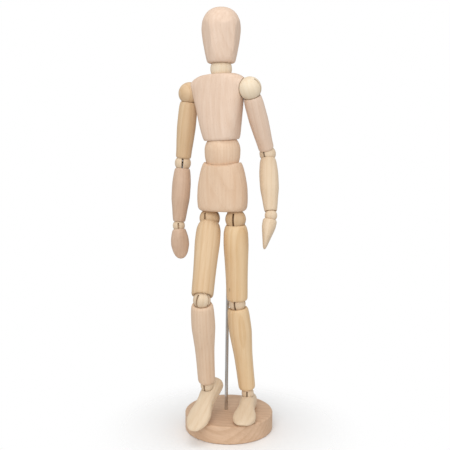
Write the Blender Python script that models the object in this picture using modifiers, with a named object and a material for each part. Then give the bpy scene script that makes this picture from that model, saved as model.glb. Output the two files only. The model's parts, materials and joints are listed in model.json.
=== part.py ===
"""Jointed wooden artist mannequin, 16 inch size, on a round base with a steel support rod.

Frame: +Z up, the pelvis faces -Y, the figure's left is +X, origin at the centre of the base's underside.
Sizes below are in millimetres and turn into metres where a mesh is made.
"""
import math

import bmesh
import bpy
from mathutils import Matrix, Vector

MM = 0.001
GAP = 0.4
WIDE_GAP = 0.6

# Stand
BASE_RADIUS = 43.3
BASE_HEIGHT = 17.4
BASE_EDGE = 1.2
ROD_RADIUS = 1.6
ROD_PLACE = (-3.4, 0.8)
ROD_LEAN = (0.66, 0.24)
ROD_BOTTOM = 5.0
ROD_TOP = 236.0
ROD_HOLE_RADIUS = ROD_RADIUS + 0.3

# Trunk
PELVIS_CENTRE = (-3.3, -9.0)
PELVIS_BOTTOM = 217.4
PELVIS_TOP = 263.2
SADDLE_RADIUS = 48.0
WAIST_HEIGHT = 273.2
WAIST_RADIUS = 16.9
WAIST_CAP_RISE = 1.0
WAIST_TOP = 13.0
WAIST_BOTTOM = -14.0
TORSO_BOTTOM = 284.0
TORSO_YAW = -6.6
TORSO_ROLL = -2.8
TORSO_PITCH = 1.7
NECK_CENTRE = (-4.4, -9.6, 349.4)
NECK_RADIUS = 10.1
NECK_FLAT = 8.0
HEAD_BOTTOM = 354.6
HEAD_TOP = 405.4
HEAD_YAW = 24.0

# Limbs
SHOULDER_SPAN = 63.0
SHOULDER_HEIGHT = 329.4
HIP_SPAN = 26.2
HIP_HEIGHT = 209.6
UPPER_ARM_LENGTH = 66.6
FOREARM_LENGTH = 60.6
THIGH_LENGTH = 82.3
SHIN_LENGTH = 91.6
SHOULDER_BALL = 10.7
ELBOW_BALL = 7.9
WRIST_BALL = 6.0
HIP_BALL = 9.9
KNEE_BALL = 8.2
ANKLE_BALL = 6.1
BORE_RADIUS = 3.0
SLOT_WIDTH = 1.8
PIN_RADIUS = 0.8
PIN_HOLE_RADIUS = 1.1
PIN_REACH = 0.76
WIRE_RADIUS = 0.45
EYE_RADIUS = 1.7
COIL_RADIUS = 2.0
COIL_PITCH = 6.0
COIL_LENGTH = 24.0

# Foot, measured from the ankle's centre
SOLE_DROP = 18.6
TOE_REACH = 43.0
HEEL_REACH = 17.0

# Outer radius of each turned limb, as (distance below the upper joint, radius)
UPPER_ARM_OUTLINE = (
    (8.3, 7.7), (11.2, 8.5), (18, 8.9), (30, 9.0), (43, 8.4), (54, 7.6), (60.2, 7.3), (61.4, 6.7),
)
FOREARM_OUTLINE = (
    (5.2, 6.8), (6.4, 7.4), (12, 8.3), (22, 9.0), (32, 8.9), (44, 7.5), (54.6, 6.1), (56.4, 5.6),
)
THIGH_OUTLINE = (
    (5.4, 9.0), (8, 10.4), (14, 11.6), (24, 11.9), (40, 11.2), (58, 10.5), (76.6, 10.1), (78.2, 9.4),
)
SHIN_OUTLINE = (
    (4.4, 9.0), (6.4, 10.0), (14, 10.7), (26, 11.0), (38, 10.2), (52, 9.1), (68, 8.5),
    (84.6, 8.1), (86.4, 7.5),
)

# Pose of the limbs in degrees: turn about the limb above, lean sideways, swing fore and aft
HIP_POSE = {"right": (-6.0, -10.4, -30.0), "left": (4.0, -0.6, 2.4)}
KNEE_POSE = {"right": (0.0, 19.5, 42.7), "left": (-4.0, -4.8, 2.6)}
ELBOW_POSE = {"right": (26.6, -2.3, -8.0), "left": (0.0, -8.6, -42.1)}
WRIST_POSE = {"right": (0.0, -8.0, -4.0), "left": (-60.0, 10.8, -14.1)}
SHOULDER_POSE = {"right": (-1.5, 9.8), "left": (23.4, -2.6)}
FOOT_POSE = {"right": (-6.0, 28.5), "left": (11.5, 0.0)}
SIDES = {"right": -1.0, "left": 1.0}

TURNED_STEPS = 16
BALL_RINGS = 7

PINK_WOOD = (0.74, 0.57, 0.45)
YELLOW_WOOD = (0.78, 0.58, 0.34)
PALE_WOOD = (0.80, 0.65, 0.44)
BASE_WOOD = (0.66, 0.46, 0.33)
STEEL = (0.62, 0.62, 0.63)


def clear_scene():
    for item in list(bpy.data.objects):
        bpy.data.objects.remove(item, do_unlink=True)


def new_collection(name):
    collection = bpy.data.collections.new(name)
    bpy.context.scene.collection.children.link(collection)
    return collection


def material(name, colour, roughness, metallic):
    made = bpy.data.materials.new(name)
    made.use_nodes = True
    shader = made.node_tree.nodes["Principled BSDF"]
    shader.inputs["Base Color"].default_value = (*colour, 1.0)
    shader.inputs["Roughness"].default_value = roughness
    shader.inputs["Metallic"].default_value = metallic
    return made


def place(x, y, z, yaw=0.0):
    return Matrix.Translation(Vector((x, y, z)) * MM) @ turn("Z", yaw)


def turn(axis, degrees):
    return Matrix.Rotation(math.radians(degrees), 4, axis)


def down(distance):
    return Matrix.Translation((0, 0, -distance * MM))


def finish(mesh, name, frame, look=None):
    """Make the mesh an object, as a wooden or steel piece when it has a look and as a cutter when not."""
    made = bpy.data.objects.new(name, mesh)
    made.matrix_world = frame
    if look is None:
        cutters.objects.link(made)
        made.hide_render = True
        made.display_type = "WIRE"
        return made
    pieces.objects.link(made)
    made.data.materials.append(material(name, *look))
    return made


def mesh_from(name, points, edges=(), faces=()):
    mesh = bpy.data.meshes.new(name)
    mesh.from_pydata([Vector(point) * MM for point in points], list(edges), list(faces))
    return mesh


def turned(name, outline, frame, look=None, closed=False, steps=TURNED_STEPS):
    """Turn an outline of (radius, height) points, running down its outer side, about the Z axis."""
    points = [(radius, 0, height) for radius, height in outline]
    edges = [(index, index + 1) for index in range(len(points) - 1)]
    if closed:
        edges.append((len(points) - 1, 0))
    made = finish(mesh_from(name, points, edges), name, frame, look)
    screw = made.modifiers.new("Turn", "SCREW")
    screw.axis = "Z"
    screw.angle = math.tau
    screw.steps = steps
    screw.render_steps = steps
    screw.use_merge_vertices = True
    screw.merge_threshold = 0.00001
    screw.use_smooth_shade = True
    return made


def arc(radius, high, low, count, centre=0.0):
    """Points of a circle about the axis, from height high to height low above its centre."""
    start = math.acos(max(-1.0, min(1.0, high / radius)))
    end = math.acos(max(-1.0, min(1.0, low / radius)))
    points = []
    for index in range(count + 1):
        angle = start + (end - start) * index / count
        points.append((max(0.0, radius * math.sin(angle)), centre + radius * math.cos(angle)))
    return points


def ball(name, radius, frame, look=None, steps=TURNED_STEPS, rings=BALL_RINGS):
    return turned(name, arc(radius, radius, -radius, rings), frame, look, steps=steps)


def loft(name, rings, frame, look=None):
    """Skin a stack of rings that have the same number of points, with flat ends."""
    count = len(rings[0])
    points = [point for ring in rings for point in ring]
    faces = []
    for level in range(len(rings) - 1):
        for index in range(count):
            after = (index + 1) % count
            low = level * count
            high = low + count
            faces.append((low + index, low + after, high + after, high + index))
    faces.append(tuple(range(count)))
    faces.append(tuple(len(points) - count + index for index in range(count)))
    mesh = mesh_from(name, points, faces=faces)
    shaped = bmesh.new()
    shaped.from_mesh(mesh)
    bmesh.ops.recalc_face_normals(shaped, faces=shaped.faces)
    shaped.to_mesh(mesh)
    shaped.free()
    mesh.shade_smooth()
    mesh.set_sharp_from_angle(angle=math.radians(40))
    return finish(mesh, name, frame, look)


def box(name, low, high, frame):
    points = [(x, y, z) for x in (low[0], high[0]) for y in (low[1], high[1]) for z in (low[2], high[2])]
    faces = ((0, 1, 3, 2), (4, 6, 7, 5), (0, 4, 5, 1), (2, 3, 7, 6), (0, 2, 6, 4), (1, 5, 7, 3))
    return finish(mesh_from(name, points, faces=faces), name, frame)


def rounded_ring(half_width, front, back, height, power=2.6, taper=0.0, count=24):
    """A rounded outline at one height, with its front at -Y, narrower towards the back by the taper."""
    points = []
    for index in range(count):
        angle = math.tau * (index + 0.5) / count
        across = math.copysign(abs(math.cos(angle)) ** (2 / power), math.cos(angle))
        along = math.copysign(abs(math.sin(angle)) ** (2 / power), math.sin(angle))
        depth = back if along > 0 else front
        points.append((half_width * across * (1 - taper * along), depth * along, height))
    return points


def cut(target, cutter, operation="DIFFERENCE"):
    boolean = target.modifiers.new("Cut " + cutter.name, "BOOLEAN")
    boolean.operation = operation
    boolean.solver = "EXACT"
    boolean.object = cutter


def cut_hole(target, name, radius, top, bottom, frame, steps=12):
    cut(target, turned(name, ((0, top), (radius, top), (radius, bottom), (0, bottom)), frame, steps=steps))


def wire(name, route, frame, look, sides=1):
    """A round wire along the route, made a mesh with its ends closed."""
    curve = bpy.data.curves.new(name, "CURVE")
    curve.dimensions = "3D"
    curve.bevel_depth = WIRE_RADIUS * MM
    curve.bevel_resolution = sides
    curve.use_fill_caps = True
    spline = curve.splines.new("POLY")
    spline.points.add(len(route) - 1)
    for point, position in zip(spline.points, route):
        point.co = (*(Vector(position) * MM), 1.0)
    guide = bpy.data.objects.new(name + "_guide", curve)
    bpy.context.scene.collection.objects.link(guide)
    bpy.context.view_layer.update()
    mesh = bpy.data.meshes.new_from_object(guide.evaluated_get(bpy.context.evaluated_depsgraph_get()))
    bpy.data.objects.remove(guide, do_unlink=True)
    welded = bmesh.new()
    welded.from_mesh(mesh)
    bmesh.ops.remove_doubles(welded, verts=welded.verts, dist=0.000005)
    bmesh.ops.recalc_face_normals(welded, faces=welded.faces)
    welded.to_mesh(mesh)
    welded.free()
    mesh.materials.clear()
    return finish(mesh, name, frame, look)


def coil_route(top, bottom):
    """Points of a coil about the Z axis from the top to the bottom height."""
    turns = max(2, round((top - bottom) / COIL_PITCH))
    points = []
    for index in range(turns * 6 + 1):
        angle = math.tau * index / 6
        height = top + (bottom - top) * index / (turns * 6)
        points.append((COIL_RADIUS * math.cos(angle), COIL_RADIUS * math.sin(angle), height))
    return points


def limb_spring(name, length, reach, frame):
    """A tension spring whose eye goes round the pin along X at the frame's centre."""
    route = []
    for index in range(10):
        angle = math.radians(-40 + 310 * index / 9)
        route.append((0, EYE_RADIUS * math.cos(angle), EYE_RADIUS * math.sin(angle)))
    route.append((0, 0, 1.5 - reach))
    route += coil_route(-reach, -reach - COIL_LENGTH)
    route.append((0, 0, -reach - COIL_LENGTH - 1.5))
    route.append((0, 0, reach - length))
    return wire(name, route, frame, (STEEL, 0.35, 1.0), sides=0)


def slotted_ball(name, radius, frame, look, slot_top=0.62, cross_slot=False):
    """A wooden ball with a slot across its pin, which lies hidden along X in a blind hole."""
    made = ball(name, radius, frame, look)
    reach = radius + 1
    half = SLOT_WIDTH / 2
    hole_reach = PIN_REACH * radius
    cut(made, box(name + "_slot", (-half, -reach, -reach), (half, reach, slot_top * radius), frame))
    if cross_slot:
        cut(made, box(name + "_cross_slot", (-reach, -half, -0.45 * radius), (reach, half, reach), frame))
    across = frame @ turn("Y", 90)
    cut_hole(made, name + "_pin_hole", PIN_HOLE_RADIUS, hole_reach, -hole_reach, across, steps=8)
    half_pin = hole_reach - 0.3
    pin = ((0, half_pin), (PIN_RADIUS, half_pin), (PIN_RADIUS, -half_pin), (0, -half_pin))
    turned(name.replace("_ball", "_pin"), pin, across, (STEEL, 0.35, 1.0), steps=8)
    return made


def limb(name, outline, balls, length, frame, look):
    """A turned limb with a round socket at each end for its two balls and a bore right through."""
    upper = balls[0] + GAP
    lower = balls[1] + GAP
    rim_top = outline[0][0]
    rim_bottom = length - outline[-1][0]
    inner_top = math.sqrt(upper ** 2 - BORE_RADIUS ** 2)
    inner_bottom = math.sqrt(lower ** 2 - BORE_RADIUS ** 2)
    socket_top = arc(upper, -rim_top, -inner_top, 3)
    socket_bottom = arc(lower, inner_bottom, rim_bottom, 3, centre=-length)
    side = [(radius, -distance) for distance, radius in outline]
    loop = list(reversed(socket_top)) + side + list(reversed(socket_bottom))
    return turned(name, loop, frame, look, closed=True)


def rod_place():
    """Frame of the rod: its foot in the base, its top leaning a little to the left and back."""
    return place(*ROD_PLACE, 0) @ turn("Y", ROD_LEAN[0]) @ turn("X", -ROD_LEAN[1])


def build_stand():
    base_outline = (
        (0, BASE_HEIGHT),
        (BASE_RADIUS - BASE_EDGE, BASE_HEIGHT),
        (BASE_RADIUS - 0.35 * BASE_EDGE, BASE_HEIGHT - 0.35 * BASE_EDGE),
        (BASE_RADIUS, BASE_HEIGHT - BASE_EDGE),
        (BASE_RADIUS, BASE_EDGE),
        (BASE_RADIUS - 0.35 * BASE_EDGE, 0.35 * BASE_EDGE),
        (BASE_RADIUS - BASE_EDGE, 0),
        (0, 0),
    )
    base = turned("base", base_outline, place(0, 0, 0), (BASE_WOOD, 0.6, 0.0), steps=40)
    rod_frame = rod_place()
    cut_hole(base, "base_rod_hole", ROD_HOLE_RADIUS, BASE_HEIGHT + 1, ROD_BOTTOM - 0.4, rod_frame)
    tip = 0.4
    rod_outline = (
        (0, ROD_TOP),
        (ROD_RADIUS - tip, ROD_TOP),
        (ROD_RADIUS, ROD_TOP - tip),
        (ROD_RADIUS, ROD_BOTTOM + tip),
        (ROD_RADIUS - tip, ROD_BOTTOM),
        (0, ROD_BOTTOM),
    )
    turned("support_rod", rod_outline, rod_frame, (STEEL, 0.25, 1.0), steps=16)


def waist_outline(gap=0.0):
    """The waist's outline: a round cap above, on which the torso rocks, and a barrel below."""
    cap = arc(WAIST_RADIUS + gap, WAIST_TOP - WAIST_CAP_RISE + gap, 0.0, 4, centre=WAIST_CAP_RISE)
    barrel = [(16.8, -2), (16.4, -6), (15.6, -9.5), (14.6, -12)]
    return cap + [(radius + gap, height) for radius, height in barrel] + [(13.4 + gap, WAIST_BOTTOM - gap)]


def build_pelvis():
    """A block with flat ends: narrow at the waist, broad below, with rounded lower corners."""
    levels = (
        (PELVIS_TOP, 17.6, 17.3, 16.7, 2.0),
        (PELVIS_TOP - 2, 18.8, 17.8, 17.0, 2.1),
        (257, 20.3, 18.0, 17.0, 2.2),
        (248, 22.3, 17.6, 16.6, 2.4),
        (238, 23.7, 17.0, 16.0, 2.6),
        (228, 24.0, 16.4, 15.4, 2.7),
        (221.6, 23.6, 15.8, 14.8, 2.7),
        (218.8, 22.6, 15.0, 14.0, 2.7),
        (PELVIS_BOTTOM, 20.8, 13.4, 12.6, 2.6),
    )
    rings = []
    for z, half_width, front, back, power in reversed(levels):
        rings.append(rounded_ring(half_width, front, back, z, power))
    frame = place(*PELVIS_CENTRE, 0)
    pelvis = loft("pelvis", rings, frame, (PINK_WOOD, 0.6, 0.0))
    waist_frame = place(*PELVIS_CENTRE, WAIST_HEIGHT)
    saddle = ((0, 40), (SADDLE_RADIUS, 40), (SADDLE_RADIUS, -40), (0, -40))
    saddle_frame = place(*PELVIS_CENTRE, PELVIS_TOP - SADDLE_RADIUS) @ turn("Y", 90)
    cut(pelvis, turned("pelvis_saddle", saddle, saddle_frame, steps=72), "INTERSECT")
    pocket_outline = [(0, WAIST_TOP + GAP)] + waist_outline(GAP) + [(0, WAIST_BOTTOM - GAP)]
    cut(pelvis, turned("pelvis_waist_socket", pocket_outline, waist_frame))
    for side, sign in SIDES.items():
        socket_name = "pelvis_" + side + "_hip_socket"
        cut(pelvis, ball(socket_name, HIP_BALL + WIDE_GAP, hip_place(sign), steps=24, rings=12))
    cut_hole(pelvis, "pelvis_rod_hole", ROD_HOLE_RADIUS, ROD_TOP + 0.4, PELVIS_BOTTOM - 2, rod_place())


def hip_place(sign):
    return place(PELVIS_CENTRE[0] + sign * HIP_SPAN / 2, PELVIS_CENTRE[1], HIP_HEIGHT)


def build_waist():
    frame = place(*PELVIS_CENTRE, WAIST_HEIGHT)
    loop = [(BORE_RADIUS, WAIST_TOP)] + waist_outline() + [(BORE_RADIUS, WAIST_BOTTOM)]
    turned("waist", loop, frame, (PINK_WOOD, 0.6, 0.0), closed=True)
    wire("spine_spring", coil_route(10, -10), frame, (STEEL, 0.35, 1.0), sides=0)


def torso_frame():
    """Frame of the torso: turned, rolled and pitched about the point where it rocks on the waist."""
    pivot = place(*PELVIS_CENTRE, WAIST_HEIGHT + WAIST_CAP_RISE)
    return pivot @ turn("Z", TORSO_YAW) @ turn("Y", TORSO_ROLL) @ turn("X", TORSO_PITCH)


def build_torso():
    frame = torso_frame()
    base = WAIST_HEIGHT + WAIST_CAP_RISE
    levels = (
        (TORSO_BOTTOM, 16.0, 15.2, 14.8, 2.5, 0.02),
        (286, 16.7, 15.7, 15.3, 2.6, 0.02),
        (295, 18.6, 15.8, 15.5, 2.8, 0.05),
        (308, 21.0, 15.2, 15.4, 2.9, 0.06),
        (318, 22.9, 14.5, 15.1, 2.9, 0.07),
        (326, 25.2, 13.8, 14.7, 2.6, 0.08),
        (332, 27.5, 13.3, 14.2, 2.4, 0.08),
        (335.5, 28.2, 12.9, 13.8, 2.4, 0.08),
        (338.5, 27.0, 12.5, 13.3, 2.4, 0.08),
        (341.5, 23.6, 12.1, 12.8, 2.5, 0.06),
        (343.8, 19.2, 11.6, 12.1, 2.4, 0.04),
        (344.8, 15.0, 11.2, 11.6, 2.2, 0.0),
    )
    rings = []
    for z, half_width, front, back, power, taper in levels:
        rings.append(rounded_ring(half_width, front, back, z - base, power, taper))
    torso = loft("torso", rings, frame, (PINK_WOOD, 0.6, 0.0))
    cut(torso, ball("torso_waist_socket", WAIST_RADIUS + GAP, frame, rings=10))
    for side, sign in SIDES.items():
        socket_name = "torso_" + side + "_shoulder_socket"
        cut(torso, ball(socket_name, SHOULDER_BALL + WIDE_GAP, shoulder_place(sign), steps=24, rings=12))
    cut(torso, ball("torso_neck_socket", NECK_RADIUS + GAP, place(*NECK_CENTRE)))
    across = frame @ place(0, 0, SHOULDER_HEIGHT - base) @ turn("Y", 90)
    cut_hole(torso, "torso_cross_bore", BORE_RADIUS, 30, -30, across)
    wire("chest_spring", coil_route(15, -15), across, (STEEL, 0.35, 1.0), sides=0)


def shoulder_place(sign):
    base = WAIST_HEIGHT + WAIST_CAP_RISE
    return torso_frame() @ place(sign * SHOULDER_SPAN / 2, 0, SHOULDER_HEIGHT - base)


def build_neck_and_head():
    neck_frame = place(*NECK_CENTRE, 10)
    neck_outline = arc(NECK_RADIUS, NECK_FLAT, -NECK_FLAT, 6)
    neck_loop = [(1.5, NECK_FLAT)] + neck_outline + [(1.5, -NECK_FLAT)]
    turned("neck", neck_loop, neck_frame, (YELLOW_WOOD, 0.6, 0.0), closed=True)
    height = NECK_CENTRE[2]
    levels = (
        (HEAD_BOTTOM, 12.4, 12.8, 12.8),
        (HEAD_BOTTOM + 1.2, 13.0, 13.6, 13.4),
        (361, 14.4, 15.6, 14.8),
        (368, 15.8, 17.6, 16.4),
        (376, 17.2, 19.0, 18.0),
        (385, 18.1, 19.4, 18.8),
        (391, 17.6, 18.6, 18.2),
        (396, 16.0, 16.8, 16.4),
        (400, 13.4, 13.9, 13.9),
        (403, 9.8, 10.0, 10.0),
        (404.8, 5.4, 5.4, 5.4),
        (HEAD_TOP, 0.8, 0.8, 0.8),
    )
    rings = [rounded_ring(width, front, back, z - height, 2.1) for z, width, front, back in levels]
    head_frame = place(*NECK_CENTRE, HEAD_YAW)
    head = loft("head", rings, head_frame, (PINK_WOOD, 0.6, 0.0))
    cut(head, ball("head_neck_socket", NECK_RADIUS + GAP, head_frame))


def hand_rings():
    """Mitten: thick where it holds the wrist's ball, a broad palm, and a thin rounded tip."""
    levels = (
        (3.4, 6.0, 5.8),
        (6, 7.0, 6.6),
        (10, 8.0, 6.5),
        (14, 8.6, 5.8),
        (18, 8.7, 4.8),
        (22, 8.0, 3.8),
        (26, 6.9, 2.8),
        (29, 5.3, 2.0),
        (31.2, 3.3, 1.3),
        (32.2, 1.4, 0.7),
    )
    rings = []
    for drop, half_width, depth in reversed(levels):
        rings.append(rounded_ring(half_width, depth, depth, -drop, 2.1, count=16))
    return rings


def foot_rings():
    """Foot along Y: flat sole, cut-off heel, a narrower instep and a broad toe that runs to a point."""
    levels = (
        (HEEL_REACH, 6.2, -6.4, 1.6),
        (HEEL_REACH - 1.2, 7.2, -5.0, 0.5),
        (12, 7.9, -3.4, 0.1),
        (5, 8.0, -1.5, 0),
        (-2, 7.7, -1.5, 0),
        (-9, 7.7, -3.6, 0),
        (-17, 9.2, -6.6, 0),
        (-24, 10.8, -8.6, 0),
        (-30, 10.9, -10.1, 0),
        (-35, 9.3, -11.5, 0.3),
        (-39, 6.9, -12.9, 1.0),
        (-41.8, 4.2, -14.0, 1.9),
        (-TOE_REACH, 1.8, -15.0, 2.8),
    )
    rings = []
    for along, width, top, lift in levels:
        bottom = -SOLE_DROP + lift
        middle = (top + bottom) / 2
        ring = []
        for index in range(20):
            angle = math.tau * (index + 0.5) / 20
            power = 2.1 if math.sin(angle) > 0 else 4.0
            across = math.copysign(abs(math.cos(angle)) ** (2 / power), math.cos(angle))
            rise = math.copysign(abs(math.sin(angle)) ** (2 / power), math.sin(angle))
            ring.append((width * across, along, middle + rise * (top - bottom) / 2))
        rings.append(ring)
    return rings


def build_arm(side, sign):
    swing, lift = SHOULDER_POSE[side]
    shoulder = shoulder_place(sign) @ turn("X", swing)
    quarter = turn("Z", 90)
    name = side + "_"
    slotted_ball(name + "shoulder_ball", SHOULDER_BALL, shoulder @ quarter, (YELLOW_WOOD, 0.55, 0.0), 0.8)
    arm = shoulder @ turn("Y", lift)
    arm_wood = PINK_WOOD if side == "left" else YELLOW_WOOD
    arm_balls = (SHOULDER_BALL, ELBOW_BALL)
    limb(name + "upper_arm", UPPER_ARM_OUTLINE, arm_balls, UPPER_ARM_LENGTH, arm, (arm_wood, 0.6, 0.0))
    limb_spring(name + "upper_arm_spring", UPPER_ARM_LENGTH, 14, arm @ quarter)
    turned_by, lean, swing = ELBOW_POSE[side]
    elbow = arm @ down(UPPER_ARM_LENGTH) @ turn("Z", turned_by) @ turn("Y", lean)
    slotted_ball(name + "elbow_ball", ELBOW_BALL, elbow @ turn("X", swing / 2), (PALE_WOOD, 0.55, 0.0))
    forearm = elbow @ turn("X", swing)
    forearm_wood = PINK_WOOD if side == "right" else PALE_WOOD
    forearm_balls = (ELBOW_BALL, WRIST_BALL)
    forearm_look = (forearm_wood, 0.6, 0.0)
    limb(name + "forearm", FOREARM_OUTLINE, forearm_balls, FOREARM_LENGTH, forearm, forearm_look)
    limb_spring(name + "forearm_spring", FOREARM_LENGTH, 10, forearm)
    turned_by, lean, swing = WRIST_POSE[side]
    wrist = forearm @ down(FOREARM_LENGTH) @ turn("Z", turned_by) @ turn("Y", lean)
    half_bent = wrist @ turn("X", swing / 2)
    slotted_ball(name + "wrist_ball", WRIST_BALL, half_bent, (PALE_WOOD, 0.55, 0.0), 0.45)
    hand_frame = wrist @ turn("X", swing)
    hand = loft(name + "hand", hand_rings(), hand_frame, forearm_look)
    cut(hand, ball(name + "hand_socket", WRIST_BALL + GAP, hand_frame))


def build_leg(side, sign):
    name = side + "_"
    turned_by, lean, swing = HIP_POSE[side]
    hip = hip_place(sign) @ turn("Z", turned_by) @ turn("Y", lean)
    slotted_ball(name + "hip_ball", HIP_BALL, hip, (YELLOW_WOOD, 0.55, 0.0), cross_slot=True)
    thigh = hip @ turn("X", swing)
    limb(name + "thigh", THIGH_OUTLINE, (HIP_BALL, KNEE_BALL), THIGH_LENGTH, thigh, (YELLOW_WOOD, 0.6, 0.0))
    limb_spring(name + "thigh_spring", THIGH_LENGTH, 13, thigh)
    turned_by, lean, swing = KNEE_POSE[side]
    knee = thigh @ down(THIGH_LENGTH) @ turn("Z", turned_by) @ turn("Y", lean)
    half_bent = knee @ turn("X", swing / 2)
    slotted_ball(name + "knee_ball", KNEE_BALL, half_bent, (PALE_WOOD, 0.55, 0.0), cross_slot=True)
    shin = knee @ turn("X", swing)
    shin_wood = PINK_WOOD if side == "right" else YELLOW_WOOD
    limb(name + "shin", SHIN_OUTLINE, (KNEE_BALL, ANKLE_BALL), SHIN_LENGTH, shin, (shin_wood, 0.6, 0.0))
    limb_spring(name + "shin_spring", SHIN_LENGTH, 11, shin)
    ankle = shin @ down(SHIN_LENGTH)
    yaw, pitch = FOOT_POSE[side]
    foot_frame = Matrix.Translation(ankle.translation) @ turn("Z", yaw) @ turn("X", pitch)
    half_bent = foot_frame @ turn("X", -pitch / 2)
    slotted_ball(name + "ankle_ball", ANKLE_BALL, half_bent, (PALE_WOOD, 0.55, 0.0), 0.5)
    foot = loft(name + "foot", foot_rings(), foot_frame, (PALE_WOOD, 0.6, 0.0))
    cut(foot, ball(name + "foot_socket", ANKLE_BALL + GAP, foot_frame))


clear_scene()
pieces = new_collection("artist_mannequin")
cutters = new_collection("cutters")
build_stand()
build_pelvis()
build_waist()
build_torso()
build_neck_and_head()
for each_side, each_sign in SIDES.items():
    build_arm(each_side, each_sign)
    build_leg(each_side, each_sign)
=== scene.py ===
import json
import math

import bmesh
import bpy
from mathutils import Matrix, Vector


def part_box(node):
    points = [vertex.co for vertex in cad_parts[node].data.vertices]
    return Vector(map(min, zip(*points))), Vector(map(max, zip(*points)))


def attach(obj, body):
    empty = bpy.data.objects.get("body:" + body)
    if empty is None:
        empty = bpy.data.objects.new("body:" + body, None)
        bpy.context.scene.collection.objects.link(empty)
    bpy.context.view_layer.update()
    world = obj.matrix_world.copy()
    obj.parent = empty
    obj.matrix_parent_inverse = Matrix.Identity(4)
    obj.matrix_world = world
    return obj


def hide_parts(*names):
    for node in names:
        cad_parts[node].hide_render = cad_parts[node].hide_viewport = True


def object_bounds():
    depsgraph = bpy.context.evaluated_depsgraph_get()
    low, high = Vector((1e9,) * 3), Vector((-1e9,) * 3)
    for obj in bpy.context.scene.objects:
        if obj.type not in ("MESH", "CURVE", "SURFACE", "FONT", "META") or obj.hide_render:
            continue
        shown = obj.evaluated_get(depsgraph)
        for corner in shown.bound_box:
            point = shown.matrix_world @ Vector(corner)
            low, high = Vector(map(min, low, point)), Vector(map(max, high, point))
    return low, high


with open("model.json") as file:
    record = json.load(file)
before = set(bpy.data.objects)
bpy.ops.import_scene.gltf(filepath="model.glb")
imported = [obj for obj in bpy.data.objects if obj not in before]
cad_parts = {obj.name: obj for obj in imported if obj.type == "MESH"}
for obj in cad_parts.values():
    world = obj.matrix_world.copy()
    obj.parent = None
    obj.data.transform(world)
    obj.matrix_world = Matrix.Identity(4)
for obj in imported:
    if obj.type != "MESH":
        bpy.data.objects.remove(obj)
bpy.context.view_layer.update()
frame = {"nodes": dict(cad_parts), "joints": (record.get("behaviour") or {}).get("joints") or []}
mm = 0.001
joints = {joint["name"]: joint for joint in frame["joints"]}
nodes = frame["nodes"]
sides = {"right": -1.0, "left": 1.0}
sharpFrom = math.radians(35)
uprightNames = ("uprightPlace", "uprightNormal")


# shader maths
class Wire:
    # a socket that can be used in Python sums; every sum adds its Math node
    def __init__(self, bench, socket):
        self.bench = bench
        self.socket = socket

    def run(self, operation, *values):
        return self.bench.node("ShaderNodeMath", {"operation": operation}, dict(enumerate(values)))

    def __add__(self, other):
        return self.run("ADD", self, other)

    __radd__ = __add__

    def __mul__(self, other):
        return self.run("MULTIPLY", self, other)

    __rmul__ = __mul__

    def __sub__(self, other):
        return self.run("SUBTRACT", self, other)

    def __rsub__(self, other):
        return self.run("SUBTRACT", other, self)

    def __truediv__(self, other):
        return self.run("DIVIDE", self, other)

    def __pow__(self, other):
        return self.run("POWER", self, other)

    def __abs__(self):
        return self.run("ABSOLUTE", self)

    def fraction(self):
        return self.run("FRACT", self)

    def capped(self):
        return self.run("MINIMUM", self.run("MAXIMUM", self, 0.0), 1.0)

    def between(self, low, high):
        # 0 below low, 1 above high, smooth in the middle
        settings = {"interpolation_type": "SMOOTHSTEP"}
        values = {"Value": self, "From Min": low, "From Max": high}
        return self.bench.node("ShaderNodeMapRange", settings, values)


class Bench:
    def __init__(self, name):
        self.material = bpy.data.materials.new(name)
        self.material.use_nodes = True
        self.tree = self.material.node_tree
        self.shader = self.tree.nodes["Principled BSDF"]

    def node(self, kind, settings=None, values=None, out=0):
        made = self.tree.nodes.new(kind)
        for key, value in (settings or {}).items():
            setattr(made, key, value)
        for key, value in (values or {}).items():
            self.fill(made.inputs[key], value)
        return Wire(self, made.outputs[out])

    def fill(self, socket, value):
        if isinstance(value, Wire):
            self.tree.links.new(value.socket, socket)
        else:
            socket.default_value = value

    def vector(self, operation, first, second):
        return self.node("ShaderNodeVectorMath", {"operation": operation}, {0: first, 1: second})

    def turned(self, vector, turn=(0.0, 0.0, 0.0)):
        values = {"Vector": vector, "Rotation": turn}
        return self.node("ShaderNodeVectorRotate", {"rotation_type": "EULER_XYZ"}, values)

    def grain(self, place, along, scale, detail):
        # noise drawn out along Z
        stretched = self.vector("MULTIPLY", place, (1.0, 1.0, along))
        return self.node("ShaderNodeTexNoise", None, {"Vector": stretched, "Scale": scale, "Detail": detail})

    def split(self, vector):
        parts = self.tree.nodes.new("ShaderNodeSeparateXYZ")
        self.fill(parts.inputs[0], vector)
        return [Wire(self, socket) for socket in parts.outputs]

    def blend(self, amount, first, second):
        # colours go through one Mix node
        opaque = [(*value, 1.0) if isinstance(value, tuple) else value for value in (first, second)]
        return self.node("ShaderNodeMix", {"data_type": "RGBA"}, {0: amount, 6: opaque[0], 7: opaque[1]}, 2)

    def finish(self, **values):
        names = {"color": "Base Color", "roughness": "Roughness", "normal": "Normal"}
        for key, value in values.items():
            self.fill(self.shader.inputs[names[key]], value)
        return self.material


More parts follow.
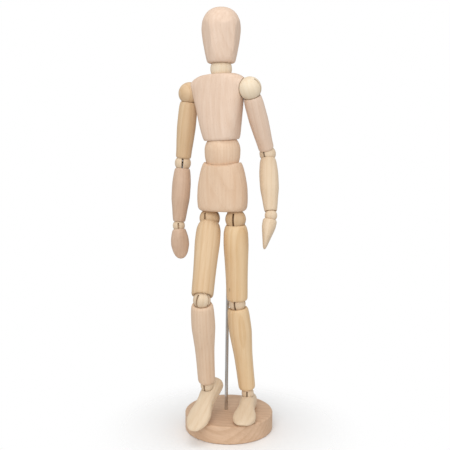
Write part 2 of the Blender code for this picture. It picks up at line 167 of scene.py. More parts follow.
woods = {
    # light and dark are the early and late wood, ring is the width of a year's growth in millimetres
    "pinkBeech": dict(
        light=(0.800, 0.620, 0.490), dark=(0.680, 0.480, 0.345),
        ring=2.6, rings=0.18, streak=1.05, fleck=0.34,
    ),
    "warmBeech": dict(
        light=(0.795, 0.595, 0.430), dark=(0.670, 0.445, 0.285),
        ring=2.8, rings=0.20, streak=1.00, fleck=0.34,
    ),
    "brownBeech": dict(
        light=(0.655, 0.470, 0.340), dark=(0.540, 0.355, 0.240),
        ring=2.7, rings=0.20, streak=1.00, fleck=0.34,
    ),
    "yellowPine": dict(
        light=(0.815, 0.605, 0.375), dark=(0.690, 0.455, 0.235),
        ring=5.2, rings=0.36, streak=0.85, fleck=0.18,
    ),
    "oldPine": dict(
        light=(0.725, 0.535, 0.340), dark=(0.605, 0.400, 0.220),
        ring=5.0, rings=0.36, streak=0.90, fleck=0.18,
    ),
    "paleWood": dict(
        light=(0.850, 0.730, 0.565), dark=(0.755, 0.595, 0.405),
        ring=4.6, rings=0.22, streak=0.75, fleck=0.14,
    ),
    "creamWood": dict(
        light=(0.775, 0.620, 0.450), dark=(0.665, 0.490, 0.315),
        ring=4.4, rings=0.24, streak=0.80, fleck=0.16,
    ),
    "baseBeech": dict(
        light=(0.690, 0.480, 0.325), dark=(0.550, 0.350, 0.215),
        ring=4.4, rings=0.36, streak=0.95, fleck=0.38,
    ),
}
grainLook = dict(
    # stretch along the grain, scale, detail
    sway=(0.22, 0.030, 1.0), cloud=(0.4, 0.045, 2.0), streak=(0.018, 0.42, 2.0),
    fibre=(0.03, 1.3, 3.0), fineFibre=(0.05, 3.6, 2.0), dash=(0.16, 2.3, 1.0),
)
toneLook = dict(
    # start and how much each layer adds, then how dark the flecks, end grain and knots are
    start=0.30, cloud=0.8, fibre=0.55, fineFibre=0.25, endGrain=0.22,
    fleckDark=0.66, endDark=0.82, knotDark=0.42,
)


def darker(color, part):
    return tuple(part * channel for channel in color)


def woodFinish(name, wood, seed, pith=(38.0, -14.0), lie=(0.0, 0.0, 0.0), warp=5.0, marks=()):
    # pith is where the tree's middle was, lie turns the grain off the piece's own Z
    # marks are small knots: place on the piece in millimetres, half length along the grain, depth of tone
    look = woods[wood]
    bench = Bench(name)
    # pieceFrom sets these two turns, which bring the piece's own axes back
    place = bench.turned(bench.node("ShaderNodeTexCoord", out=3))
    normal = bench.turned(bench.node("ShaderNodeTexCoord", out=1))
    place.socket.node.name, normal.socket.node.name = uprightNames
    inMm = bench.vector("MULTIPLY", place, (1000.0, 1000.0, 1000.0))
    laid = bench.turned(inMm, lie)
    shifted = bench.vector("ADD", laid, (7.3 * seed, -4.1 * seed, 31.7 * seed))
    layers = {layer: bench.grain(shifted, *numbers) for layer, numbers in grainLook.items()}
    across, deep, along = bench.split(laid)
    fromPithX = across + pith[0] + along * 0.035
    fromPithY = deep + pith[1]
    radius = (fromPithX * fromPithX + fromPithY * fromPithY) ** 0.5 + (layers["sway"] - 0.5) * warp
    season = (radius / look["ring"]).fraction()
    late = season.between(0.35, 0.92) * (1 - season.between(0.93, 1.0))
    dash = layers["dash"].between(0.64, 0.75)
    tone = late * look["rings"] + (layers["streak"] - 0.5) * look["streak"] + toneLook["start"]
    for layer in ("fibre", "fineFibre", "cloud"):
        tone = tone + (layers[layer] - 0.5) * toneLook[layer]
    endGrain = abs(bench.split(bench.turned(normal, lie))[2]).between(0.80, 0.99)
    body = bench.blend(tone.capped(), look["light"], look["dark"])
    flecked = bench.blend(dash * look["fleck"], body, darker(look["dark"], toneLook["fleckDark"]))
    color = bench.blend(endGrain * toneLook["endGrain"], flecked, darker(look["dark"], toneLook["endDark"]))
    for spot, length, depth in marks:
        away = bench.vector("SUBTRACT", inMm, spot)
        squeezed = bench.vector("MULTIPLY", away, (2.2 / length, 2.2 / length, 1.0 / length))
        distance = bench.node("ShaderNodeVectorMath", {"operation": "LENGTH"}, {0: squeezed}, 1)
        knot = 1 - (distance + (layers["fibre"] - 0.5) * 0.8).between(0.25, 1.0)
        color = bench.blend(knot * depth, color, darker(look["dark"], toneLook["knotDark"]))
    relief = layers["fibre"] * 0.5 + layers["fineFibre"] * 0.5 - late * 0.3 - dash * 0.5
    bumped = bench.node("ShaderNodeBump", None, {"Strength": 0.20, "Distance": 0.0003, "Height": relief})
    roughness = 0.50 + layers["fibre"] * 0.16 - late * 0.05 + endGrain * 0.12
    bench.shader.inputs["Specular IOR Level"].default_value = 0.35
    return bench.finish(color=color, roughness=roughness, normal=bumped)


def steelFinish(name, color, roughness, drawn):
    # drawn is how strong the fine lines along the wire or rod are
    bench = Bench(name)
    inMm = bench.vector("MULTIPLY", bench.node("ShaderNodeTexCoord", out=3), (1000.0, 1000.0, 1000.0))
    lines = bench.grain(inMm, 0.02, 5.0, 2.0)
    smudge = bench.grain(inMm, 0.35, 0.12, 2.0)
    shade = bench.blend(smudge.between(0.35, 0.7) * 0.5, color, darker(color, 0.78))
    bumped = bench.node("ShaderNodeBump", None, {"Strength": drawn, "Distance": 0.00005, "Height": lines})
    uneven = roughness + (lines - 0.5) * 0.12 + (smudge - 0.5) * 0.10
    bench.shader.inputs["Metallic"].default_value = 1.0
    return bench.finish(color=shade, roughness=uneven, normal=bumped)


# places, read from the frame
def point(name):
    return Vector(joints[name]["pos_m"])


def axis(name):
    return Vector(joints[name]["axis"]).normalized()


def basis(origin, xWay=None, zWay=None, keep="x"):
    # a frame from two rough directions; the kept one stays exact
    if keep == "x":
        x = xWay.normalized()
        z = (zWay - zWay.dot(x) * x).normalized()
    else:
        z = zWay.normalized()
        x = (xWay - xWay.dot(z) * z).normalized()
    y = z.cross(x)
    made = Matrix((x, y, z)).transposed().to_4x4()
    made.translation = origin
    return made


up = Vector((0, 0, 1))
places = {}
for side, sign in sides.items():
    shoulder = point(side + "_arm_lift")
    elbow = point(side + "_elbow_bend")
    wrist = point(side + "_wrist_bend")
    hip = point(side + "_hip_swing")
    knee = point(side + "_knee_bend")
    ankle = point(side + "_ankle_bend")
    armY = -sign * axis(side + "_arm_lift")
    armZ = (shoulder - elbow).normalized()
    places[side + "UpperArm"] = basis(shoulder, armY.cross(armZ), armZ, "z")
    places[side + "Forearm"] = basis(elbow, axis(side + "_elbow_bend"), elbow - wrist)
    places[side + "Thigh"] = basis(hip, axis(side + "_hip_swing"), hip - knee)
    places[side + "Shin"] = basis(knee, -axis(side + "_knee_bend"), knee - ankle)
    places[side + "ShoulderBall"] = basis(shoulder, armY, axis(side + "_shoulder_swing").cross(armY))
    elbowZ = armZ + (elbow - wrist).normalized()
    places[side + "ElbowBall"] = basis(elbow, axis(side + "_elbow_bend"), elbowZ)
    places[side + "WristBall"] = basis(wrist, axis(side + "_wrist_bend"), elbow - wrist)
    places[side + "HipBall"] = basis(hip, axis(side + "_hip_swing"), up)
    kneeZ = (hip - knee).normalized() + (knee - ankle).normalized()
    places[side + "KneeBall"] = basis(knee, -axis(side + "_knee_bend"), kneeZ)
    places[side + "AnkleBall"] = basis(ankle, axis(side + "_ankle_bend"), knee - ankle)
    handMiddle = sum((vertex.co for vertex in nodes[side + "_hand"].data.vertices), Vector())
    handMiddle /= len(nodes[side + "_hand"].data.vertices)
    places[side + "Hand"] = basis(wrist, axis(side + "_wrist_bend"), wrist - handMiddle)
    flattest = max(nodes[side + "_foot"].data.polygons, key=lambda face: face.area * (face.normal.z < -0.5))
    places[side + "Foot"] = basis(ankle, axis(side + "_ankle_bend"), -flattest.normal)
rodPlace = basis(point("figure_turn"), Vector((1, 0, 0)), axis("figure_turn"), "z")
pelvisPlace = Matrix.Translation(point("waist_turn"))
shoulderMiddle = (point("right_arm_lift") + point("left_arm_lift")) / 2
torsoPlace = basis(point("torso_bend"), axis("torso_bend"), shoulderMiddle - point("torso_bend"))
headPlace = basis(point("head_nod"), axis("head_nod"), up)
neckPlace = Matrix.Translation(point("neck_turn"))


# making shapes
def flow(keys, samples):
    # smooth curve through keys of (position, value, value...), never overshooting, read at each sample
    count = len(keys[0])
    steps = [keys[i + 1][0] - keys[i][0] for i in range(len(keys) - 1)]
    rows = []
    slopes = []
    for column in range(1, count):
        rise = [(keys[i + 1][column] - keys[i][column]) / steps[i] for i in range(len(steps))]
        slope = [rise[0]]
        for i in range(1, len(rise)):
            same = rise[i - 1] * rise[i] > 0
            slope.append(2 * rise[i - 1] * rise[i] / (rise[i - 1] + rise[i]) if same else 0.0)
        slopes.append(slope + [rise[-1]])
    for sample in samples:
        at = 0
        while at < len(steps) - 1 and sample > keys[at + 1][0]:
            at += 1
        t = max(0.0, min(1.0, (sample - keys[at][0]) / steps[at]))
        row = []
        for column in range(1, count):
            leave, arrive = slopes[column - 1][at : at + 2]
            first, last = keys[at][column], keys[at + 1][column]
            bend = (2 * t ** 3 - 3 * t ** 2 + 1) * first + (t ** 3 - 2 * t ** 2 + t) * steps[at] * leave
            row.append(bend + (3 * t ** 2 - 2 * t ** 3) * last + (t ** 3 - t ** 2) * steps[at] * arrive)
        rows.append(row)
    return rows


def spread(low, high, count):
    return [low + (high - low) * i / (count - 1) for i in range(count)]


def arc(radius, high, low, count, centre=0.0):
    start = math.acos(max(-1.0, min(1.0, high / radius)))
    end = math.acos(max(-1.0, min(1.0, low / radius)))
    angles = spread(start, end, count)
    return [(max(0.0, radius * math.sin(angle)), centre + radius * math.cos(angle)) for angle in angles]


def meshFrom(name, shape):
    mesh = bpy.data.meshes.new(name)
    bmesh.ops.recalc_face_normals(shape, faces=shape.faces)
    shape.to_mesh(mesh)
    shape.free()
    return mesh


def pieceFrom(name, shape, place, body, node, finish):
    # the place's turn goes into the mesh, so that the object's own box is upright
    turn = place.to_3x3()
    bmesh.ops.transform(shape, matrix=turn.to_4x4(), verts=shape.verts)
    mesh = meshFrom(name, shape)
    mesh.shade_smooth()
    mesh.set_sharp_from_angle(angle=sharpFrom)
    piece = bpy.data.objects.new(name, mesh)
    piece.location = place.translation
    for upright in uprightNames:
        if upright in finish.node_tree.nodes:
            finish.node_tree.nodes[upright].inputs["Rotation"].default_value = turn.inverted().to_euler()
    bpy.context.scene.collection.objects.link(piece)
    piece.data.materials.append(finish)
    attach(piece, body)
    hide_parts(node)
    return piece


def latheShape(loop, steps=72, closed=False):
    # turns (radius, height) points in millimetres about Z
    shape = bmesh.new()
    rings = []
    for radius, height in loop:
        if radius < 0.001:
            rings.append([shape.verts.new((0, 0, height * mm))])
            continue
        ring = []
        for index in range(steps):
            angle = math.tau * index / steps
            x, y = radius * math.cos(angle), radius * math.sin(angle)
            ring.append(shape.verts.new((x * mm, y * mm, height * mm)))
        rings.append(ring)
    below = rings[1:] + rings[:1] if closed else rings[1:]
    for high, low in zip(rings, below):
        for index in range(steps):
            after = (index + 1) % steps
            if len(high) == 1:
                shape.faces.new((high[0], low[after], low[index]))
            elif len(low) == 1:
                shape.faces.new((high[index], high[after], low[0]))
            else:
                shape.faces.new((high[index], high[after], low[after], low[index]))
    return shape


def loftShape(rings):
    # a skin over rings of points in millimetres, each end closed with a fan
    shape = bmesh.new()
    made = [[shape.verts.new(Vector(place) * mm) for place in ring] for ring in rings]
    for low, high in zip(made, made[1:]):
        for index in range(len(low)):
            after = (index + 1) % len(low)
            shape.faces.new((low[index], low[after], high[after], high[index]))
    for ring in (made[0], made[-1]):
        middle = shape.verts.new(sum((vertex.co for vertex in ring), Vector()) / len(ring))
        for index in range(len(ring)):
            shape.faces.new((ring[index], ring[(index + 1) % len(ring)], middle))
    return shape


def squarish(angle, power):
    # a point of a ring that is round at power 2 and squarer above it
    across, deep = math.cos(angle), math.sin(angle)
    return math.copysign(abs(across) ** (2 / power), across), math.copysign(abs(deep) ** (2 / power), deep)


def squircle(width, front, back, height, power, taper=0.0, count=96):
    ring = []
    for index in range(count):
        across, deep = squarish(math.tau * (index + 0.5) / count, power)
        depth = back if deep > 0 else front
        ring.append(Vector((width * across * (1 - taper * deep), depth * deep, height)))
    return ring


def sand(place, flats, rub):
    # rub a point down to each flat, given as its direction and its distance from the middle
    for way, distance in flats:
        over = place.dot(way) - distance
        if over > 0:
            place = place - way * over * rub
    return place


def carve(piece, cutter, how="DIFFERENCE"):
    cut = piece.modifiers.new("carve", "BOOLEAN")
    cut.operation = how
    cut.solver = "EXACT"
    cut.object = cutter
    bpy.context.view_layer.update()
    carved = bpy.data.meshes.new_from_object(piece.evaluated_get(bpy.context.evaluated_depsgraph_get()))
    piece.modifiers.clear()
    piece.data = carved
    bpy.data.objects.remove(cutter, do_unlink=True)
    piece.data.set_sharp_from_angle(angle=sharpFrom)


def tool(shape, place):
    made = bpy.data.objects.new("tool", meshFrom("tool", shape))
    made.matrix_world = place
    bpy.context.scene.collection.objects.link(made)
    return made


def ballTool(radius, place):
    return tool(latheShape(arc(radius, radius, -radius, 40), 80), place)


def boxTool(low, high, place):
    shape = bmesh.new()
    bmesh.ops.create_cube(shape, size=1.0)
    for vertex in shape.verts:
        corner = [(low[i] + high[i]) / 2 + vertex.co[i] * (high[i] - low[i]) for i in range(3)]
        vertex.co = Vector(corner) * mm
    return tool(shape, place)


def rodTool(radius, top, bottom, place, steps=32):
    return tool(latheShape([(0, top), (radius, top), (radius, bottom), (0, bottom)], steps), place)


# stand
standLook = dict(
    radius=43.2, height=17.4, edge=1.5,
    rodHole=1.85, rod=1.6, rodBottom=5.1, rodTip=0.4, holeSpare=0.3, figureHoleBottom=210,
)
rodTop = (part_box("support_rod")[1][2] - rodPlace.translation.z) / mm


def makeStand():
    radius, height, edge = standLook["radius"], standLook["height"], standLook["edge"]
    inner = radius - edge
    corner, foot = spread(0, math.pi / 2, 9), spread(0, math.pi / 2, 7)
    loop = [(radius * part, height) for part in (0.0, 0.25, 0.5, 0.7, 0.85)]
    loop += [(inner + edge * math.sin(a), height - edge + edge * math.cos(a)) for a in corner]
    loop += [(radius, level) for level in spread(height - edge, edge, 6)[1:-1]]
    loop += [(inner + edge * math.cos(a), edge - edge * math.sin(a)) for a in foot]
    loop += [(radius * 0.5, 0), (0, 0)]
    finish = woodFinish("baseBeech", "baseBeech", 3.0, (64.0, -30.0), (0.12, 1.36, 0.55), 9.0)
    base = pieceFrom("baseDisc", latheShape(loop, 144), Matrix(), "stand", "base", finish)
    rod, tip, bottom = standLook["rod"], standLook["rodTip"], standLook["rodBottom"]
    carve(base, rodTool(standLook["rodHole"], height + 1, bottom - standLook["holeSpare"], rodPlace))
    loop = [(0, bottom), (rod - tip, bottom), (rod, bottom + tip)]
    loop += [(rod, level) for level in spread(bottom + 2, rodTop - 2, 24)]
    loop += [(rod, rodTop - tip), (rod - tip, rodTop), (0, rodTop)]
    steel = steelFinish("polishedRod", (0.62, 0.61, 0.60), 0.20, 0.08)
    pieceFrom("steelRod", latheShape(loop, 40), rodPlace, "stand", "support_rod", steel)


makeStand()
print("stand made")

# trunk
# levels: height above the waist's centre, half width, front depth, back depth, squareness
pelvisLook = dict(
    levels=(
        (-55.8, 20.6, 13.4, 12.6, 2.6), (-54.4, 22.4, 15.0, 14.0, 2.7), (-51.6, 23.5, 15.8, 14.8, 2.7),
        (-45.2, 23.9, 16.4, 15.4, 2.7), (-35.2, 23.6, 17.0, 16.0, 2.6), (-25.2, 22.2, 17.6, 16.6, 2.4),
        (-16.2, 20.2, 18.0, 17.0, 2.2), (-12.0, 18.7, 17.8, 17.0, 2.1), (-10.0, 17.5, 17.3, 16.7, 2.0),
    ),
    saddle=48.0, saddleReach=40, waistGap=0.35, hipBall=9.9, hipGap=0.5,
    # a small knot: place from the waist's centre, half length, depth of tone
    knots=(((9.8, -17.5, -24.6), 1.5, 0.75),),
)
waistLook = dict(
    radius=16.9, rise=1.0, top=13.0, bottom=-14.0, bore=3.0,
    barrel=((-1.0, 16.9), (2.0, 16.8), (6.0, 16.4), (9.5, 15.6), (12.0, 14.6), (14.0, 13.4)),
)


def waistLoop(gap=0.0):
    rise = waistLook["rise"]
    cap = arc(waistLook["radius"] + gap, waistLook["top"] - rise + gap, 0.0, 20, rise)
    depths = spread(-0.5, -waistLook["bottom"], 22)
    return cap + [(row[0] + gap, -depth) for row, depth in zip(flow(waistLook["barrel"], depths), depths)]


def makePelvis():
    heights = spread(pelvisLook["levels"][0][0], pelvisLook["levels"][-1][0], 90)
    rings = []
    for (width, front, back, power), height in zip(flow(pelvisLook["levels"], heights), heights):
        rings.append(squircle(width, front, back, height, power))
    knots = pelvisLook["knots"]
    finish = woodFinish("pelvisWood", "warmBeech", 1.0, (30.0, -46.0), (0.03, -0.02, 0.3), marks=knots)
    pelvis = pieceFrom("pelvisBlock", loftShape(rings), pelvisPlace, "pelvis", "pelvis", finish)
    saddle, reach = pelvisLook["saddle"], pelvisLook["saddleReach"]
    saddlePlace = pelvisPlace @ Matrix.Translation((0, 0, (heights[-1] - saddle) * mm))
    saddlePlace = saddlePlace @ Matrix.Rotation(math.pi / 2, 4, "Y")
    carve(pelvis, rodTool(saddle, reach, -reach, saddlePlace, 240), "INTERSECT")
    socket = [(0, waistLook["top"] + 0.4)] + waistLoop(pelvisLook["waistGap"]) + [(0, waistLook["bottom"])]
    carve(pelvis, tool(latheShape(socket, 80), pelvisPlace))
    for side in sides:
        carve(pelvis, ballTool(pelvisLook["hipBall"] + pelvisLook["hipGap"], places[side + "HipBall"]))
    holeTop = rodTop + standLook["holeSpare"]
    carve(pelvis, rodTool(standLook["rodHole"], holeTop, standLook["figureHoleBottom"], rodPlace))


def makeWaist():
    loop = [(waistLook["bore"], waistLook["top"])] + waistLoop() + [(waistLook["bore"], waistLook["bottom"])]
    finish = woodFinish("waistWood", "warmBeech", 2.0, (26.0, 34.0))
    pieceFrom("waistBarrel", latheShape(loop, 88, True), pelvisPlace, "waist", "waist", finish)


# levels: height above the waist's pivot, half width, front depth, back depth, squareness, taper to the back
torsoLook = dict(
    levels=(
        (9.8, 15.4, 14.6, 14.2, 2.5, 0.02), (10.4, 16.0, 15.2, 14.8, 2.5, 0.02),
        (11.8, 16.6, 15.6, 15.2, 2.6, 0.02), (20.8, 18.5, 15.8, 15.5, 2.8, 0.05),
        (33.8, 20.9, 15.2, 15.4, 2.9, 0.06), (43.8, 22.9, 14.5, 15.1, 2.9, 0.07),
        (51.8, 25.1, 13.8, 14.7, 2.6, 0.08), (57.8, 27.4, 13.3, 14.2, 2.4, 0.08),
        (61.3, 28.1, 12.9, 13.8, 2.4, 0.08), (64.3, 26.9, 12.5, 13.3, 2.4, 0.08),
        (67.3, 23.4, 12.0, 12.7, 2.5, 0.06), (69.4, 19.0, 11.4, 11.9, 2.4, 0.04),
        (70.3, 15.6, 10.6, 11.0, 2.3, 0.02), (70.6, 12.0, 9.3, 9.7, 2.2, 0.0),
    ),
    shoulderBall=10.7, shoulderGap=0.5, neckGap=0.3,
)


def makeTorso():
    low, high = torsoLook["levels"][0][0], torsoLook["levels"][-1][0]
    heights = spread(low, high - 4, 80) + spread(high - 3.9, high, 26)  # closer together at the top edge
    rings = []
    for (width, front, back, power, taper), height in zip(flow(torsoLook["levels"], heights), heights):
        rings.append(squircle(width, front, back, height, power, taper, 112))
    finish = woodFinish("torsoWood", "pinkBeech", 4.0, (52.0, -30.0), (0.0, 0.03, 0.5))
    torso = pieceFrom("torsoBlock", loftShape(rings), torsoPlace, "torso", "torso", finish)
    carve(torso, ballTool(waistLook["radius"] + pelvisLook["waistGap"], torsoPlace))
    for side in sides:
        socket = Matrix.Translation(point(side + "_arm_lift"))
        carve(torso, ballTool(torsoLook["shoulderBall"] + torsoLook["shoulderGap"], socket))
    carve(torso, ballTool(neckLook["radius"] + torsoLook["neckGap"], neckPlace))


neckLook = dict(radius=10.1, flat=8.0, hole=1.5)
# levels: height above the neck's centre, half width, front depth, back depth
headLook = dict(
    levels=(
        (5.2, 11.6, 12.0, 12.0), (5.6, 12.4, 12.9, 12.8), (6.4, 13.0, 13.6, 13.4),
        (11.6, 14.4, 15.6, 14.8), (18.6, 15.8, 17.6, 16.4), (26.6, 17.2, 19.0, 18.0),
        (35.6, 18.1, 19.4, 18.8), (41.6, 17.6, 18.6, 18.2), (46.6, 15.9, 16.7, 16.3),
        (50.6, 13.2, 13.7, 13.7), (53.6, 9.4, 9.6, 9.6), (55.3, 4.6, 4.6, 4.6), (55.8, 0.4, 0.4, 0.4),
    ),
    # sanded flats: turn about the head in degrees from the front, lean back in degrees, distance
    flats=((-8, -7, 17.2), (16, -7, 17.1), (4, 20, 20.6), (64, -6, 16.6), (-62, -6, 16.6)), rub=0.8,
    squareness=2.1, middle=30, crown=45, neckGap=0.3,
)


def makeNeck():
    radius, flat, hole = neckLook["radius"], neckLook["flat"], neckLook["hole"]
    loop = [(hole, flat)] + arc(radius, flat, -flat, 26) + [(hole, -flat)]
    finish = woodFinish("neckWood", "paleWood", 5.0, (22.0, 18.0))
    pieceFrom("neckBarrel", latheShape(loop, 72, True), neckPlace, "neck", "neck", finish)


def makeHead():
    levels, middle, crown = headLook["levels"], Vector((0, 0, headLook["middle"])), headLook["crown"]
    flats = []
    for turn, lean, distance in headLook["flats"]:
        t, l = math.radians(turn), math.radians(lean)
        flats.append((Vector((math.sin(t) * math.cos(l), -math.cos(t) * math.cos(l), math.sin(l))), distance))
    heights = spread(levels[0][0], crown, 60) + spread(crown + 0.5, levels[-1][0], 34)
    rings = []
    for (width, front, back), height in zip(flow(levels, heights), heights):
        ring = squircle(width, front, back, height, headLook["squareness"])
        rings.append([sand(place - middle, flats, headLook["rub"]) + middle for place in ring])
    finish = woodFinish("headWood", "pinkBeech", 6.0, (34.0, -40.0), (0.0, 0.05, 0.2))
    head = pieceFrom("headEgg", loftShape(rings), headPlace, "head", "head", finish)
    carve(head, ballTool(neckLook["radius"] + headLook["neckGap"], headPlace))


makePelvis()
makeWaist()
makeTorso()
makeNeck()
makeHead()
print("trunk made")

# limbs
# outlines: distance below the upper joint, outer radius; upper and lower are the radii of the balls it meets
limbLooks = {
    "UpperArm": dict(
        outline=(
            (8.3, 7.7), (11.2, 8.5), (18, 8.9), (30, 9.0), (43, 8.4), (54, 7.6), (60.2, 7.3), (61.4, 6.7),
        ),
        upper=10.6, lower=7.8,
    ),
    "Forearm": dict(
        outline=(
            (5.2, 6.8), (6.4, 7.4), (12, 8.3), (22, 9.0), (32, 8.9), (44, 7.5), (54.6, 6.1), (56.4, 5.6),
        ),
        upper=7.8, lower=5.9,
    ),
    "Thigh": dict(
        outline=(
            (5.4, 9.0), (8, 10.4), (14, 11.6), (24, 11.9), (40, 11.2), (58, 10.5), (76.6, 10.1), (78.2, 9.4),
        ),
        upper=9.8, lower=8.1,
    ),
    "Shin": dict(
        outline=(
            (4.4, 9.0), (6.4, 10.0), (14, 10.7), (26, 11.0), (38, 10.2), (52, 9.1), (68, 8.5),
            (84.6, 8.1), (86.4, 7.5),
        ),
        upper=8.1, lower=6.0,
    ),
}
socketGap, limbBore = 0.5, 3.0


def limbLoop(look, length):
    upper, lower = look["upper"] + socketGap, look["lower"] + socketGap
    first, last = look["outline"][0][0], look["outline"][-1][0]
    depths = spread(first, last, 84)
    side = [(row[0], -depth) for row, depth in zip(flow(look["outline"], depths), depths)]
    mouth = arc(upper, -first, -math.sqrt(upper ** 2 - limbBore ** 2), 14)
    tail = arc(lower, math.sqrt(lower ** 2 - limbBore ** 2), length - last, 14, -length)
    return list(reversed(mouth)) + side + list(reversed(tail))


def makeLimb(side, kind, below, node, finish):
    place = places[side + kind]
    length = (place.translation - below).length / mm
    shape = latheShape(limbLoop(limbLooks[kind], length), 80, True)
    pieceFrom(side + kind + "Turning", shape, place, node, node, finish)


ballLooks = {
    # slotTop: how far up the slot runs, web: half thickness of the wood left inside it, webFrom: where that
    # wood begins, each as a part of the radius; crossed: whether a second slot crosses the first
    "ShoulderBall": dict(radius=10.6, slotTop=0.8, web=0.12, webFrom=0.25, crossed=False),
    "ElbowBall": dict(radius=7.8, slotTop=0.62, web=0.14, webFrom=0.33, crossed=False),
    "WristBall": dict(radius=5.9, slotTop=0.45, web=0.30, webFrom=-0.9, crossed=False),
    "HipBall": dict(radius=9.8, slotTop=0.62, web=0.12, webFrom=0.27, crossed=True),
    "KneeBall": dict(radius=8.1, slotTop=0.62, web=0.14, webFrom=0.32, crossed=True),
    "AnkleBall": dict(radius=6.0, slotTop=0.5, web=0.30, webFrom=-0.9, crossed=False),
}
slotWidth, pinHole, pinReach = 1.8, 1.1, 0.76


def makeBall(side, kind, node, finish):
    look = ballLooks[kind]
    radius, place = look["radius"], places[side + kind]
    shape = latheShape(arc(radius, radius, -radius, 44), 72)
    ball = pieceFrom(side + kind + "Turning", shape, place, node, node, finish)
    reach, half = radius + 1, slotWidth / 2
    web, low = look["web"] * radius, look["webFrom"] * radius
    top = look["slotTop"] * radius
    carve(ball, boxTool((-half, -reach, -reach), (half, -web, top), place))
    carve(ball, boxTool((-half, web, -reach), (half, reach, top), place))
    carve(ball, boxTool((-half, -web - 0.1, -reach), (half, web + 0.1, low), place))
    if look["crossed"]:
        carve(ball, boxTool((-reach, -half, -0.45 * radius), (reach, half, reach), place))
    across = place @ Matrix.Rotation(math.pi / 2, 4, "Y")
    carve(ball, rodTool(pinHole, pinReach * radius, -pinReach * radius, across, 20))


handLook = dict(
    # levels: distance below the wrist, half width, half thickness
    levels=(
        (3.4, 5.7, 5.5), (3.8, 6.1, 5.9), (6, 7.0, 6.6), (10, 8.0, 6.5), (14, 8.6, 5.8), (18, 8.7, 4.8),
        (22, 8.0, 3.8), (26, 6.9, 2.8), (29, 5.3, 2.0), (31.2, 3.2, 1.2), (32.1, 0.9, 0.4),
    ),
    squareness=2.1, fingers=28, ballGap=0.3,
)


def makeHand(side, finish):
    levels, fingers = handLook["levels"], handLook["fingers"]
    drops = spread(levels[0][0], fingers, 46) + spread(fingers + 0.3, levels[-1][0], 20)
    rings = []
    for (width, thick), drop in zip(flow(levels, drops), drops):
        rings.append(squircle(width, thick, thick, -drop, handLook["squareness"], 0.0, 64))
    node, place = side + "_hand", places[side + "Hand"]
    hand = pieceFrom(side + "HandMitten", loftShape(rings), place, node, node, finish)
    carve(hand, ballTool(ballLooks["WristBall"]["radius"] + handLook["ballGap"], place))


footLook = dict(
    # levels: distance ahead of the ankle, half width, top, how far the sole lifts
    levels=(
        (-17.0, 5.9, -6.9, 2.0), (-16.6, 6.7, -6.0, 1.1), (-15.6, 7.3, -5.0, 0.5), (-12, 7.9, -3.4, 0.1),
        (-5, 8.0, -1.5, 0.0), (2, 7.7, -1.5, 0.0), (9, 7.7, -3.6, 0.0), (17, 9.2, -6.6, 0.0),
        (24, 10.8, -8.6, 0.0), (30, 10.9, -10.1, 0.0), (35, 9.3, -11.5, 0.3), (39, 6.9, -12.9, 1.0),
        (41.8, 4.1, -14.0, 1.9), (42.9, 1.7, -15.0, 2.8),
    ),
    # over and under are how square the section is above and below
    sole=18.6, heel=-13, toes=38, over=2.1, under=4.0, around=72, ballGap=0.3,
)


def makeFoot(side, finish):
    levels, heel, toes, around = footLook["levels"], footLook["heel"], footLook["toes"], footLook["around"]
    reaches = spread(levels[0][0], heel, 16) + spread(heel + 0.4, toes, 64)
    reaches += spread(toes + 0.3, levels[-1][0], 22)
    rings = []
    for (width, top, lift), reach in zip(flow(levels, reaches), reaches):
        bottom = lift - footLook["sole"]
        ring = []
        for index in range(around):
            angle = math.tau * (index + 0.5) / around
            across, rise = squarish(angle, footLook["over"] if math.sin(angle) > 0 else footLook["under"])
            ring.append(Vector((width * across, -reach, (top + bottom) / 2 + rise * (top - bottom) / 2)))
        rings.append(ring)
    node, place = side + "_foot", places[side + "Foot"]
    foot = pieceFrom(side + "FootWood", loftShape(rings), place, node, node, finish)
    carve(foot, ballTool(ballLooks["AnkleBall"]["radius"] + footLook["ballGap"], place))


limbWoods = {
    "right": dict(
        UpperArm="oldPine", Forearm="brownBeech", Hand="brownBeech", Thigh="oldPine", Shin="warmBeech",
        ShoulderBall="oldPine",
    ),
    "left": dict(
        UpperArm="pinkBeech", Forearm="creamWood", Hand="creamWood", Thigh="yellowPine", Shin="yellowPine",
        ShoulderBall="paleWood",
    ),
}
bothSides = dict(ElbowBall="creamWood", WristBall="creamWood", HipBall="oldPine", KneeBall="creamWood")
bothSides.update(AnkleBall="creamWood", Foot="creamWood")
woodSlots = dict(pinkBeech="pink_wood", warmBeech="pink_wood", brownBeech="pink_wood")
woodSlots.update(yellowPine="yellow_wood", oldPine="yellow_wood", paleWood="pale_wood", creamWood="pale_wood")
limbNodes = dict(UpperArm="_upper_arm", Forearm="_forearm", Thigh="_thigh", Shin="_shin")
limbEnds = dict(UpperArm="_elbow_bend", Forearm="_wrist_bend", Thigh="_knee_bend", Shin="_ankle_bend")
ballNodes = dict(ShoulderBall="_shoulder_ball", ElbowBall="_elbow_ball", WristBall="_wrist_ball")
ballNodes.update(HipBall="_hip_ball", KneeBall="_knee_ball", AnkleBall="_ankle_ball")
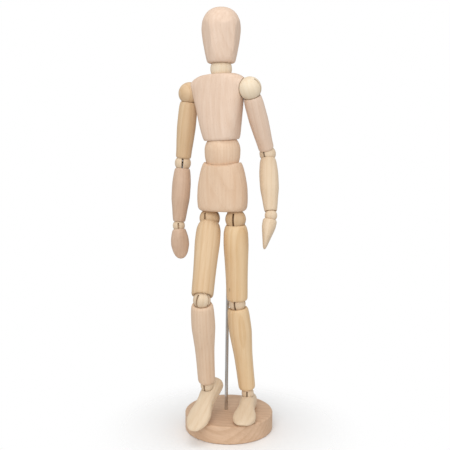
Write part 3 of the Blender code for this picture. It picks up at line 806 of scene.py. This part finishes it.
# small knots on the left thigh: place from the hip, half length, depth of tone
thighKnots = (((4.1, -10.4, -27.4), 1.6, 0.8), ((-4.8, -9.2, -66.7), 2.6, 0.5))
seed = 10.0  # each piece has its own, so that no two show the same grain
for side in sides:
    wood = {**limbWoods[side], **bothSides}
    for kind, ending in limbNodes.items():
        seed += 1
        node = side + ending
        pith, lie = (24 + 3 * (seed % 5), -20 + 9 * (seed % 4)), (0.02, -0.03, 0.4 * seed)
        knots = thighKnots if node == "left_thigh" else ()
        finish = woodFinish(side + kind + "Wood", wood[kind], seed, pith, lie, marks=knots)
        makeLimb(side, kind, point(side + limbEnds[kind]), node, finish)
    for kind, ending in ballNodes.items():
        seed += 1
        finish = woodFinish(side + kind + "Wood", wood[kind], seed, (15, 12), (0.05, 0.04, 0.3 * seed))
        makeBall(side, kind, side + ending, finish)
    seed += 1
    finish = woodFinish(side + "HandWood", wood["Hand"], seed, (20, 24), (0.0, 0.0, 0.2))
    makeHand(side, finish)
    finish = woodFinish(side + "FootGrain", wood["Foot"], seed + 0.5, (16, 30), (1.45, 0.0, 0.1))
    makeFoot(side, finish)
    print(side + " limbs made")

# springs and pins
wireSteel = steelFinish("wireSteel", (0.55, 0.54, 0.53), 0.34, 0.15)
for name, node in nodes.items():
    if name.endswith("_spring") or name.endswith("_pin"):
        node.data.materials.clear()
        node.data.materials.append(wireSteel)
        node.data.shade_smooth()
print("springs and pins finished")


# floor, light and camera
def makeFloor():
    # a white floor that fades into the white room, so that no edge of it shows; metres
    floorLook = dict(
        size=1.6, below=0.0002, fadeFrom=0.040, fadeTo=0.14,
        color=(0.93, 0.93, 0.93), speckle=(0.88, 0.88, 0.88),
    )
    bench = Bench("studioFloor")
    place = bench.node("ShaderNodeTexCoord", out=3)
    speckle = bench.node("ShaderNodeTexNoise", None, {"Vector": place, "Scale": 40.0, "Detail": 2.0})
    bench.finish(color=bench.blend(speckle * 0.04, floorLook["color"], floorLook["speckle"]), roughness=0.9)
    distance = bench.node("ShaderNodeVectorMath", {"operation": "LENGTH"}, {0: place}, 1)
    fade = distance.between(floorLook["fadeFrom"], floorLook["fadeTo"])
    clear = bench.node("ShaderNodeBsdfTransparent")
    solid = Wire(bench, bench.shader.outputs[0])
    faded = bench.node("ShaderNodeMixShader", None, {0: fade, 1: solid, 2: clear})
    bench.fill(bench.tree.nodes["Material Output"].inputs[0], faded)
    shape = bmesh.new()
    bmesh.ops.create_grid(shape, x_segments=1, y_segments=1, size=floorLook["size"] / 2)
    mesh = bpy.data.meshes.new("studioFloor")
    shape.to_mesh(mesh)
    shape.free()
    mesh.materials.append(bench.material)
    floor = bpy.data.objects.new("studioFloor", mesh)
    floor.location.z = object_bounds()[0][2] - floorLook["below"]
    bpy.context.scene.collection.objects.link(floor)


def makeRoom():
    # the room is seen white and lights the figure more softly
    room = dict(seen=1.0, light=0.60)
    world = bpy.data.worlds.new("whiteRoom")
    world.use_nodes = True
    tree = world.node_tree
    path = tree.nodes.new("ShaderNodeLightPath")
    level = tree.nodes.new("ShaderNodeMapRange")
    level.inputs["To Min"].default_value = room["light"]
    level.inputs["To Max"].default_value = room["seen"]
    tree.links.new(path.outputs["Is Camera Ray"], level.inputs["Value"])
    tree.links.new(level.outputs[0], tree.nodes["Background"].inputs["Strength"])
    tree.nodes["Background"].inputs["Color"].default_value = (1.0, 1.0, 1.0, 1.0)
    bpy.context.scene.world = world


def makeLamps():
    # place round the figure in degrees, height, distance, size, power in watts
    lamps = dict(key=(12, 0.70, 1.1, 0.7, 6.2), fill=(85, 0.35, 1.3, 0.9, 1.0), top=(0, 1.5, 0.35, 0.8, 4.6))
    aim = Vector((0, 0, 0.22))
    for name, (turn, height, distance, size, power) in lamps.items():
        lamp = bpy.data.lights.new(name, "AREA")
        lamp.size = size
        lamp.energy = power
        made = bpy.data.objects.new(name, lamp)
        t = math.radians(turn)
        made.location = (distance * math.sin(t), -distance * math.cos(t), height)
        made.rotation_euler = (aim - made.location).to_track_quat("-Z", "Y").to_euler()
        bpy.context.scene.collection.objects.link(made)


def makeCamera():
    # degrees and metres, lens and sensor in millimetres
    view = dict(turn=20.0, distance=0.68326, side=-0.00387, height=0.2885, tilt=7.162)
    view.update(lens=57.214, sensor=36.0)
    t = math.radians(view["turn"])
    back = Vector((math.sin(t), -math.cos(t), 0))
    right = Vector((math.cos(t), math.sin(t), 0))
    camera = bpy.data.cameras.new("camera")
    camera.lens = view["lens"]
    camera.sensor_width = view["sensor"]
    made = bpy.data.objects.new("camera", camera)
    made.location = back * view["distance"] + right * view["side"] + up * view["height"]
    made.rotation_euler = (math.radians(90 - view["tilt"]), 0, t)
    bpy.context.scene.collection.objects.link(made)
    bpy.context.scene.camera = made


makeFloor()
makeRoom()
makeLamps()
makeCamera()
bpy.context.scene.view_settings.view_transform = "Standard"
print("studio made")
